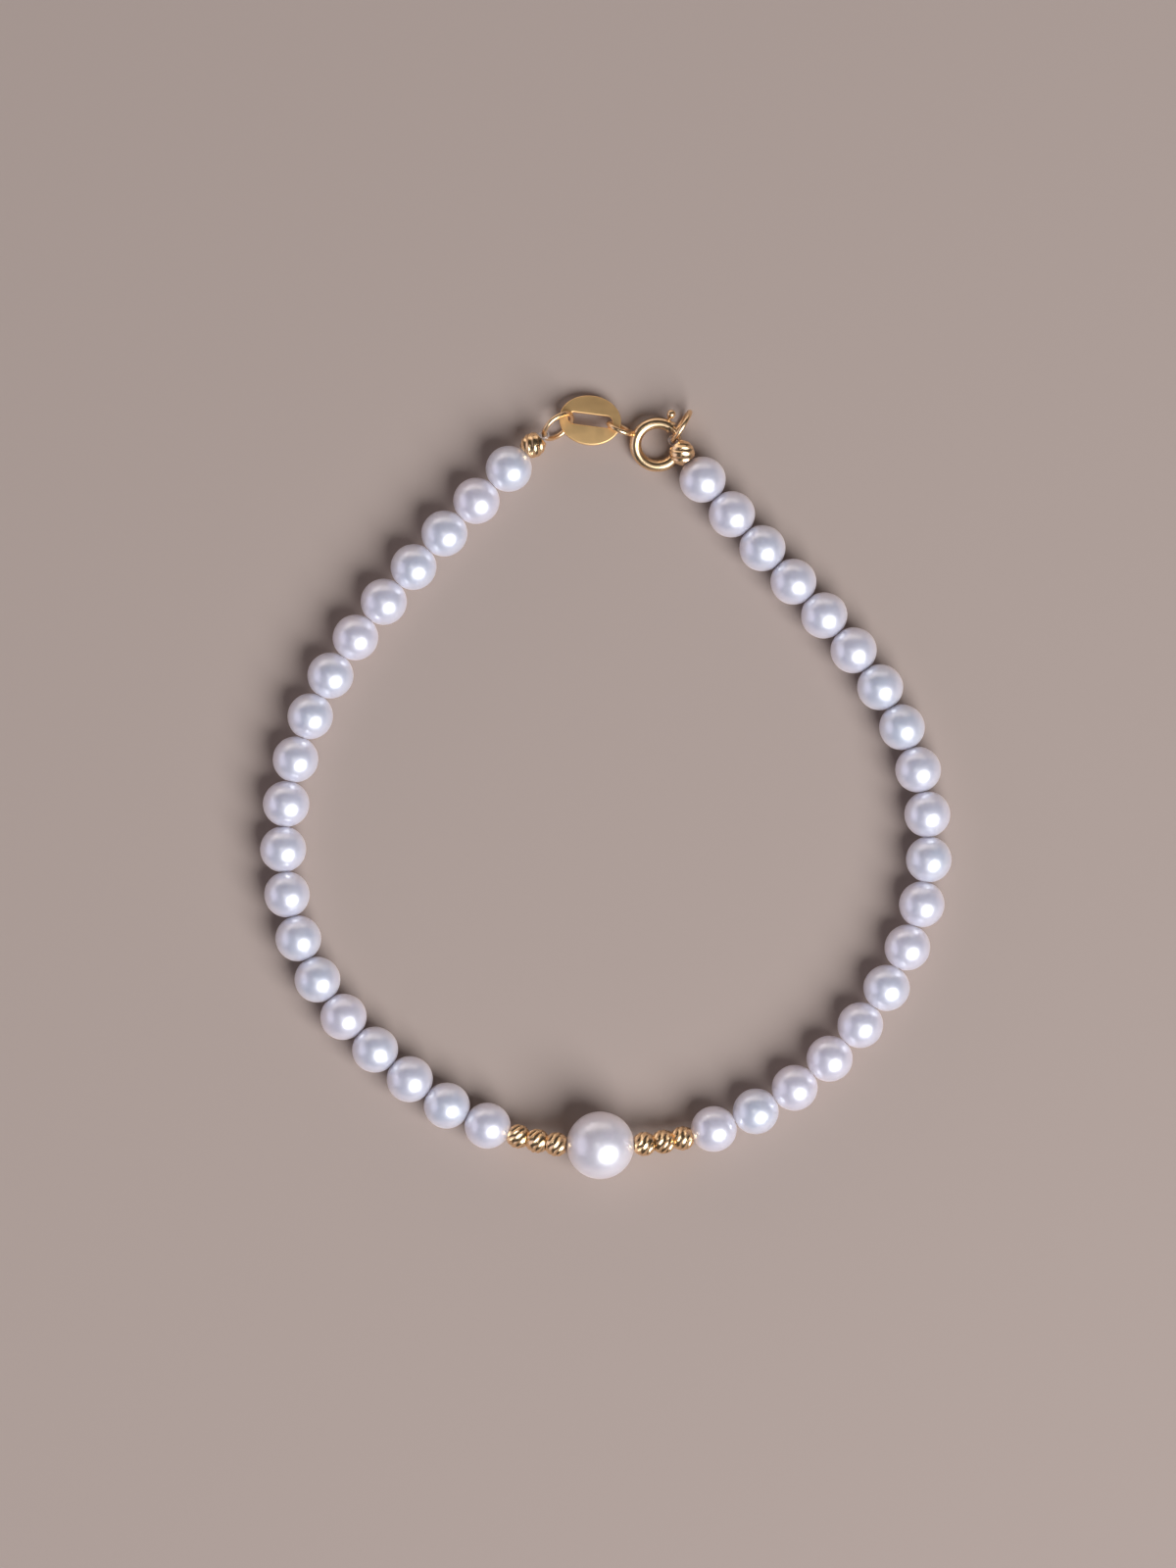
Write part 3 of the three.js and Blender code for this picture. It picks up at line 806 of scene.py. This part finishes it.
for vert in plate.verts:
    vert.co.z -= PLATE_CROWN * (vert.co.y / (PLATE_WIDTH / 2)) ** 2 - PLATE_CROWN / 2

SATIN_GOLD = gold(
    "satin gold",
    colour=(1.0, 0.67, 0.315, 1.0),
    polish=0.46,
    dull=0.14,
    scratch_scale=5200.0,
    relief=0.9,
)

plate_place = (
    Matrix.Translation(middle("oval_plate"))
    @ Matrix.Rotation(PLATE_HEADING, 4, "Z")
    @ Matrix.Rotation(PLATE_TILT, 4, "X")
)
finish_piece(
    "slotted_oval_plate",
    plate,
    SATIN_GOLD,
    "bracelet",
    ["oval_plate"],
    plate_place,
)


# Wire rings. Two rings of round gold wire, bent round and soldered shut. One leans through the
# slot of the plate and carries the string. The other stands on edge round the bolt, at the
# string's other end, and is what the clasp lets go.

RING_RADIUS = 1.525 * MM
RING_WIRE = 0.45 * MM

# The heading of each ring's level diameter, and its lean from the table.
RINGS = {
    "plate_ring": (math.radians(40), math.radians(63)),
    "catch_ring": (math.radians(239), math.radians(85)),
}


def ring_frame(node):
    """A leaning ring's own axes: its level diameter, the way it rises, and its axis."""
    heading, lean = RINGS[node]
    along = Vector((math.cos(heading), math.sin(heading), 0))
    level = Vector((-math.sin(heading), math.cos(heading), 0))
    rise = level * math.cos(lean) + Vector((0, 0, math.sin(lean)))
    return along, rise, along.cross(rise)


for node in RINGS:
    ring = bmesh.new()
    bent_tube(ring, RING_RADIUS, RING_WIRE / 2, 0, 2 * math.pi, steps=96, points=24)
    turn_outwards(ring)
    axes = Matrix(ring_frame(node)).transposed().to_4x4()
    finish_piece(
        "wire_" + node,
        ring,
        POLISHED_GOLD,
        "bracelet",
        [node],
        Matrix.Translation(middle(node)) @ axes,
    )


# Thread. One clear nylon line through every bead. At each end it goes round a wire ring and
# back into the end bead, where it is knotted out of sight.

THREAD_DIAMETER = 0.25 * MM
THREAD_HOLD = math.radians(16)
THREAD_ROOM = 0.03 * MM
EYE_POINTS = 9
EYE_FROM = math.radians(20)
EYE_TURN = math.radians(320)
STRANDS_APART = 0.62 * THREAD_DIAMETER


def thread_eye(bead, ring, side):
    """The points of the line from an end bead, round the wire of a ring and back."""
    along, rise, facing = ring_frame(ring)
    outward = along * (side * math.cos(THREAD_HOLD)) + rise * math.sin(THREAD_HOLD)
    wire = middle(ring) + outward * RING_RADIUS
    wire_way = outward.cross(facing)
    inside = middle(bead)
    towards = (wire - inside).normalized()
    mouth = inside + towards * END_BEAD_LENGTH * 0.5
    away = mouth - wire
    away -= wire_way * away.dot(wire_way)
    away.normalize()
    across = wire_way.cross(away)
    reach = (RING_WIRE + THREAD_DIAMETER) / 2 + THREAD_ROOM
    aside = across * STRANDS_APART
    points = [inside + aside / 2, mouth + aside]
    for step in range(1, EYE_POINTS - 1):
        turn = EYE_FROM + EYE_TURN * step / (EYE_POINTS - 1)
        points.append(wire + away * math.cos(turn) * reach + across * math.sin(turn) * reach)
    return points + [mouth - aside, inside - aside / 2]


line = bpy.data.curves.new("nylon line", "CURVE")
line.dimensions = "3D"
line.bevel_depth = THREAD_DIAMETER / 2
line.bevel_resolution = 3
line.resolution_u = 6
line.use_fill_caps = True
runs = [
    [middle(node) for node in STRING],
    thread_eye("end_bead_plate_side", "plate_ring", -1),
    thread_eye("end_bead_catch_side", "catch_ring", 1),
]
for points in runs:
    run = line.splines.new("NURBS")
    run.points.add(len(points) - 1)
    for point, place in zip(run.points, points):
        point.co = (*place, 1)
    run.use_endpoint_u = True
    run.order_u = 3
CLEAR_NYLON = bpy.data.materials.new("clear nylon")
CLEAR_NYLON.use_nodes = True
nylon_nodes, nylon_links = CLEAR_NYLON.node_tree.nodes, CLEAR_NYLON.node_tree.links
nylon = nylon_nodes["Principled BSDF"]
nylon.inputs["Base Color"].default_value = (0.93, 0.95, 0.97, 1.0)
nylon.inputs["Transmission Weight"].default_value = 0.85
nylon.inputs["IOR"].default_value = 1.53
nylon_place = nylon_nodes.new("ShaderNodeTexCoord")
drawn = nylon_nodes.new("ShaderNodeTexNoise")
drawn.inputs["Scale"].default_value = 4000.0
nylon_links.new(nylon_place.outputs["Object"], drawn.inputs["Vector"])
drawn_range = nylon_nodes.new("ShaderNodeMapRange")
drawn_range.inputs["To Min"].default_value = 0.08
drawn_range.inputs["To Max"].default_value = 0.22
nylon_links.new(drawn.outputs["Fac"], drawn_range.inputs["Value"])
nylon_links.new(drawn_range.outputs["Result"], nylon.inputs["Roughness"])
line.materials.append(CLEAR_NYLON)
thread = bpy.data.objects.new("nylon_thread", line)
bpy.context.scene.collection.objects.link(thread)
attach(thread, "bracelet")
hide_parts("thread")


# The table, light and camera. A plain pale floor, one soft light on the right in front, weak wide
# ones on the left and behind, one small ceiling lamp, and a long lens looking straight down.

FLOOR_SIZE = 3.0
floor_shape = bmesh.new()
bmesh.ops.create_grid(floor_shape, x_segments=1, y_segments=1, size=FLOOR_SIZE / 2)
floor_mesh = bpy.data.meshes.new("floor")
floor_shape.to_mesh(floor_mesh)
floor_shape.free()
PALE_FLOOR = bpy.data.materials.new("pale floor")
PALE_FLOOR.use_nodes = True
floor_shader = PALE_FLOOR.node_tree.nodes["Principled BSDF"]
floor_shader.inputs["Base Color"].default_value = (0.425, 0.337, 0.294, 1.0)
floor_shader.inputs["Roughness"].default_value = 0.9
floor_mesh.materials.append(PALE_FLOOR)
floor = bpy.data.objects.new("floor", floor_mesh)
bpy.context.scene.collection.objects.link(floor)


def soft_light(name, place, size, power, colour):
    """A soft lamp of a given width and height that faces the middle of the bracelet."""
    lamp = bpy.data.lights.new(name, "AREA")
    lamp.shape = "ELLIPSE"
    lamp.size, lamp.size_y = size
    lamp.energy = power
    lamp.color = colour
    holder = bpy.data.objects.new(name, lamp)
    holder.location = place
    holder.rotation_euler = (-Vector(place)).to_track_quat("-Z", "Y").to_euler()
    bpy.context.scene.collection.objects.link(holder)


soft_light("window light", (0.48, -0.57, 0.79), (0.9, 0.9), 15.7, (0.97, 1.0, 1.05))
soft_light("left fill light", (-1.15, -0.05, 0.42), (1.2, 0.9), 2.5, (0.87, 0.83, 1.0))
soft_light("back fill light", (-0.1, 1.18, 0.36), (2.2, 0.6), 3.0, (1.0, 0.89, 0.82))
soft_light("low corner light", (-0.85, 0.85, 0.2), (1.6, 0.45), 1.35, (1.0, 0.93, 0.93))
soft_light("small ceiling light", (-0.11, -0.015, 0.8), (0.04, 0.04), 0.16, (1.0, 1.0, 1.0))

room = bpy.data.worlds.new("room")
room.use_nodes = True
room.node_tree.nodes["Background"].inputs["Color"].default_value = (0.95, 0.92, 1.0, 1.0)
room.node_tree.nodes["Background"].inputs["Strength"].default_value = 0.02
bpy.context.scene.world = room
bpy.context.scene.view_settings.view_transform = "Standard"

PHOTO_WIDTH = 1200
PHOTO_HEIGHT = 1600
PIXELS_PER_MM = 11.3
OBJECT_AT_PIXEL = (619, 801.1)
CAMERA_ROLL = math.radians(0.25)
CAMERA_HEIGHT = 0.9
SENSOR = 36.0

camera_data = bpy.data.cameras.new("camera")
camera_data.sensor_fit = "AUTO"
camera_data.sensor_width = SENSOR
camera_data.lens = SENSOR * CAMERA_HEIGHT / (PHOTO_HEIGHT / PIXELS_PER_MM * MM)
camera_data.clip_start = 0.01
camera = bpy.data.objects.new("camera", camera_data)
camera.location = (
    (PHOTO_WIDTH / 2 - OBJECT_AT_PIXEL[0]) / PIXELS_PER_MM * MM,
    (OBJECT_AT_PIXEL[1] - PHOTO_HEIGHT / 2) / PIXELS_PER_MM * MM,
    CAMERA_HEIGHT + PEARL_DIAMETER / 2,
)
camera.rotation_euler.z = CAMERA_ROLL
bpy.context.scene.collection.objects.link(camera)
bpy.context.scene.camera = camera
